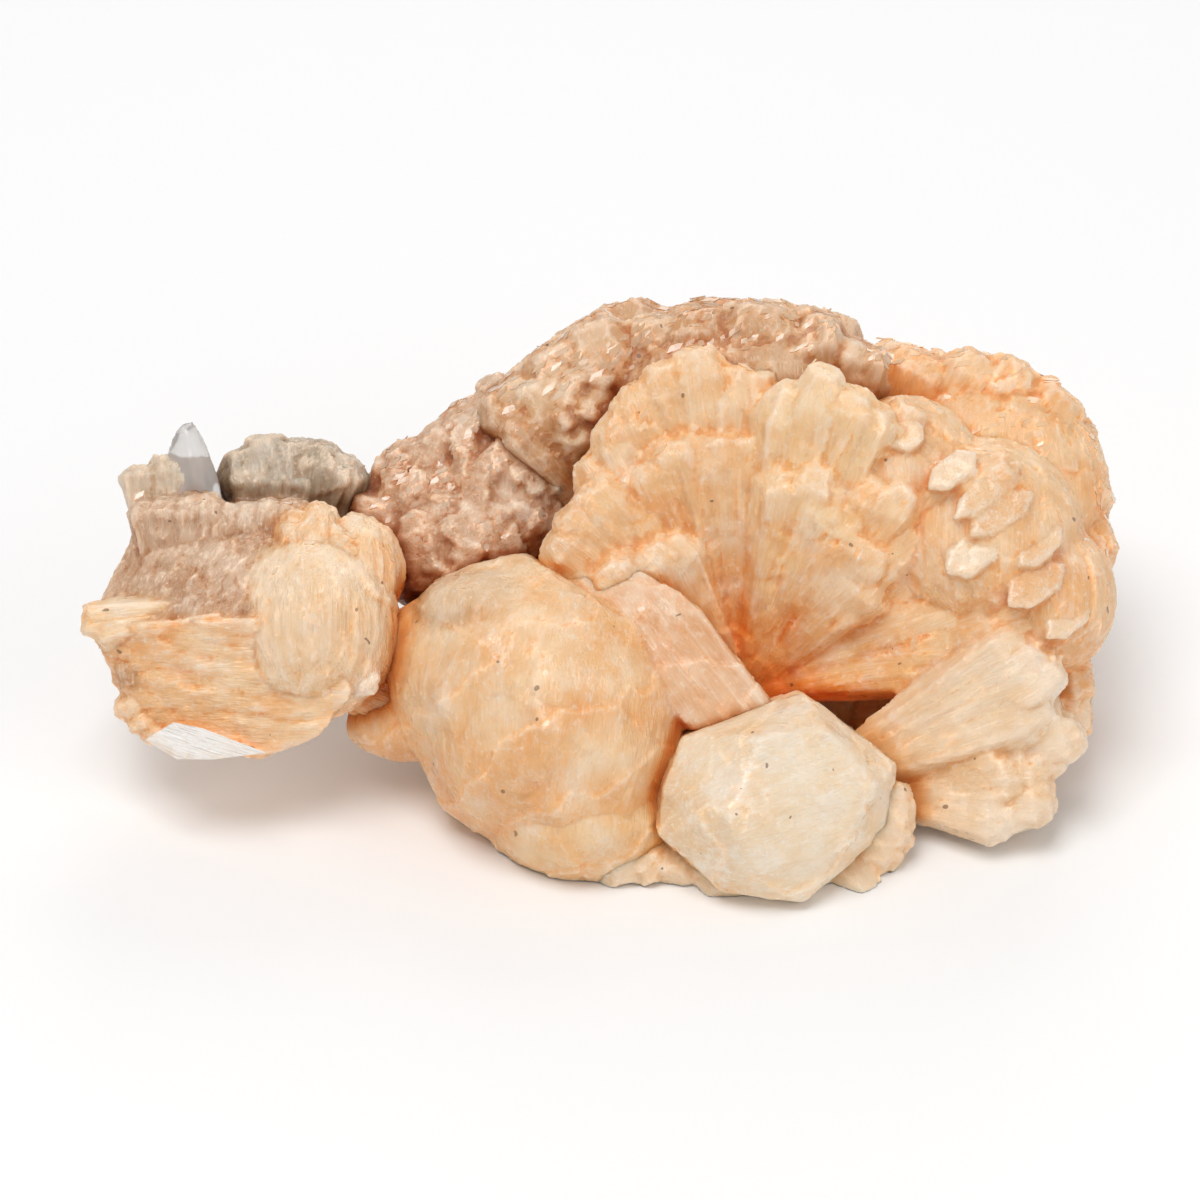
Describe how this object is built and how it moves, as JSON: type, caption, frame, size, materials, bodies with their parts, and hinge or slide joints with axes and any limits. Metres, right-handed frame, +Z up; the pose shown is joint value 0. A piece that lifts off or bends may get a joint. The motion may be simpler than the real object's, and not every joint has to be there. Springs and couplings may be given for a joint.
{
  "type": "stilbite crystal cluster",
  "caption": "Hand-size cluster of peach stilbite: fans of flat blades grown together round a deep bowl, with a rounded sheaf, a blocky crystal and a side sheaf, cut flat where it rests.",
  "frame": {"origin": "centre of the outline at the height of the resting face", "axes": "+X along the longest extent, from the side sheaf towards the rosette; +Z up from the resting face; the bowl of the rosette opens towards -Y and up"},
  "size_m": [0.107, 0.0606, 0.0449],
  "materials": {
    "stilbite": "translucent peach crystal, pearly broad faces, glassy small edges"
  },
  "bodies": {
    "root": {"stilbite_cluster": "stilbite"}
  },
  "joints": []
}
